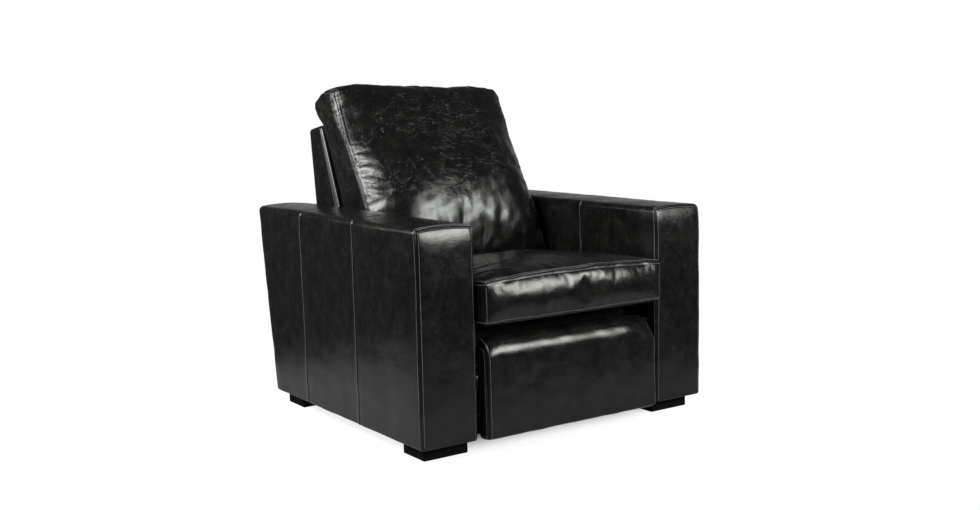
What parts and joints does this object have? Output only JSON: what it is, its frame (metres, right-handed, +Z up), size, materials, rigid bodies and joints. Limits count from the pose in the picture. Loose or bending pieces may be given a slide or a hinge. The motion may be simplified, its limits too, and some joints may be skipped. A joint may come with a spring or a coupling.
{
  "type": "push-back recliner chair",
  "caption": "Leather club recliner with box arms: leaning back slides the seat forward, tilts the back and swings out the footrest.",
  "frame": {"origin": "on the floor under the middle of the chair's overall box", "axes": "+Z up, the sitter faces -Y, +X is the sitter's left"},
  "size_m": [0.99, 1.0536, 1.004],
  "materials": {
    "black_leather": "glossy black leather",
    "black_wood": "black stained, satin",
    "frame_wood": "sawn hardwood and plywood",
    "black_lining": "black lining cloth",
    "webbing": "woven elastic webbing",
    "zinc_steel": "zinc plated",
    "rivet_steel": "plain steel",
    "black_steel": "black powder coat"
  },
  "bodies": {
    "base": {"arm_left": "black_leather", "arm_right": "black_leather", "arm_frame_left": "frame_wood", "arm_frame_right": "frame_wood", "foot_front_left": "black_wood", "foot_front_right": "black_wood", "foot_rear_left": "black_wood", "foot_rear_right": "black_wood", "base_rail_left": "black_steel", "base_rail_right": "black_steel", "foot_screws": "zinc_steel", "cross_rails": "frame_wood", "base_rail_bolts": "zinc_steel", "base_rivets": "rivet_steel", "rear_panel": "black_leather"},
    "front_carrier": {"front_carrier_left": "black_steel", "front_carrier_right": "black_steel", "carrier_cross_tube": "black_steel", "carrier_rivets": "rivet_steel"},
    "rear_carrier": {"rear_carrier_left": "black_steel", "rear_carrier_right": "black_steel"},
    "seat": {"seat_plate_left": "black_steel", "seat_plate_right": "black_steel", "seat_side_rail_left": "frame_wood", "seat_side_rail_right": "frame_wood", "seat_cross_rails": "frame_wood", "seat_apron": "black_lining", "seat_webbing": "webbing", "seat_cushion": "black_leather", "seat_rivets": "rivet_steel", "seat_plate_screws": "zinc_steel"},
    "front_footrest_link": {"front_footrest_link_left": "black_steel", "front_footrest_link_right": "black_steel", "footrest_torque_tube": "black_steel", "front_link_rivets": "rivet_steel"},
    "rear_footrest_link": {"rear_footrest_link_left": "black_steel", "rear_footrest_link_right": "black_steel", "rear_link_rivets": "rivet_steel"},
    "outer_footrest_link": {"outer_footrest_link_left": "black_steel", "outer_footrest_link_right": "black_steel"},
    "inner_footrest_link": {"inner_footrest_link_left": "black_steel", "inner_footrest_link_right": "black_steel"},
    "footrest": {"footrest_pad": "black_leather", "footrest_board": "frame_wood", "footrest_bracket_left": "black_steel", "footrest_bracket_right": "black_steel", "footrest_screws": "zinc_steel", "footrest_rivets": "rivet_steel"},
    "drive_link": {"drive_link_left": "black_steel", "drive_link_right": "black_steel"},
    "back_link": {"back_link_left": "black_steel", "back_link_right": "black_steel"},
    "back": {"outer_back": "black_leather", "back_frame": "frame_wood", "back_webbing": "webbing", "back_bracket_left": "black_steel", "back_bracket_right": "black_steel", "back_bolts": "zinc_steel", "back_bracket_rivets": "rivet_steel", "back_cushion": "black_leather"}
  },
  "joints": [
    {"name": "recline", "type": "hinge", "parent": "base", "child": "front_carrier", "pos_m": [0, -0.16685, 0.125], "axis": [1, 0, 0], "range_deg": [0, 40]},
    {"name": "seat_on_front_carrier", "type": "hinge", "parent": "front_carrier", "child": "seat", "pos_m": [0, -0.10102, 0.21561], "axis": [-1, 0, 0], "range_deg": [0, 44]},
    {"name": "rear_carrier_on_base", "type": "hinge", "parent": "base", "child": "rear_carrier", "pos_m": [0, 0.03715, 0.125], "axis": [1, 0, 0], "range_deg": [0, 41]},
    {"name": "back_link_on_base", "type": "hinge", "parent": "base", "child": "back_link", "pos_m": [0, 0.08715, 0.125], "axis": [1, 0, 0], "range_deg": [0, 31.82]},
    {"name": "back_hinge", "type": "hinge", "parent": "seat", "child": "back", "pos_m": [0, 0.18815, 0.3], "axis": [-1, 0, 0], "range_deg": [0, 21]},
    {"name": "front_link_on_seat", "type": "hinge", "parent": "seat", "child": "front_footrest_link", "pos_m": [0, -0.34185, 0.28], "axis": [-1, 0, 0], "range_deg": [0, 92]},
    {"name": "rear_link_on_seat", "type": "hinge", "parent": "seat", "child": "rear_footrest_link", "pos_m": [0, -0.28685, 0.28], "axis": [-1, 0, 0], "range_deg": [0, 92]},
    {"name": "outer_link_on_front_link", "type": "hinge", "parent": "front_footrest_link", "child": "outer_footrest_link", "pos_m": [0, -0.25035, 0.114], "axis": [1, 0, 0], "range_deg": [0, 92]},
    {"name": "inner_link_on_front_link", "type": "hinge", "parent": "front_footrest_link", "child": "inner_footrest_link", "pos_m": [0, -0.24535, 0.172], "axis": [1, 0, 0], "range_deg": [0, 92]},
    {"name": "footrest_on_outer_link", "type": "hinge", "parent": "outer_footrest_link", "child": "footrest", "pos_m": [0, -0.43185, 0.232], "axis": [-1, 0, 0], "range_deg": [0, 92]},
    {"name": "drive_link_on_front_link", "type": "hinge", "parent": "front_footrest_link", "child": "drive_link", "pos_m": [0, -0.37225, 0.2648], "axis": [1, 0, 0], "range_deg": [0, 65.86]}
  ],
  "couplings": [
    {"joint": "seat_on_front_carrier", "follows": "recline", "ratio": 1.1},
    {"joint": "rear_carrier_on_base", "follows": "recline", "ratio": 1.025},
    {"joint": "back_link_on_base", "follows": "recline", "ratio": 0.79545},
    {"joint": "back_hinge", "follows": "recline", "ratio": 0.525},
    {"joint": "front_link_on_seat", "follows": "recline", "ratio": 2.3},
    {"joint": "rear_link_on_seat", "follows": "recline", "ratio": 2.3},
    {"joint": "outer_link_on_front_link", "follows": "recline", "ratio": 2.3},
    {"joint": "inner_link_on_front_link", "follows": "recline", "ratio": 2.3},
    {"joint": "footrest_on_outer_link", "follows": "recline", "ratio": 2.3},
    {"joint": "drive_link_on_front_link", "follows": "recline", "ratio": 1.6464}
  ]
}
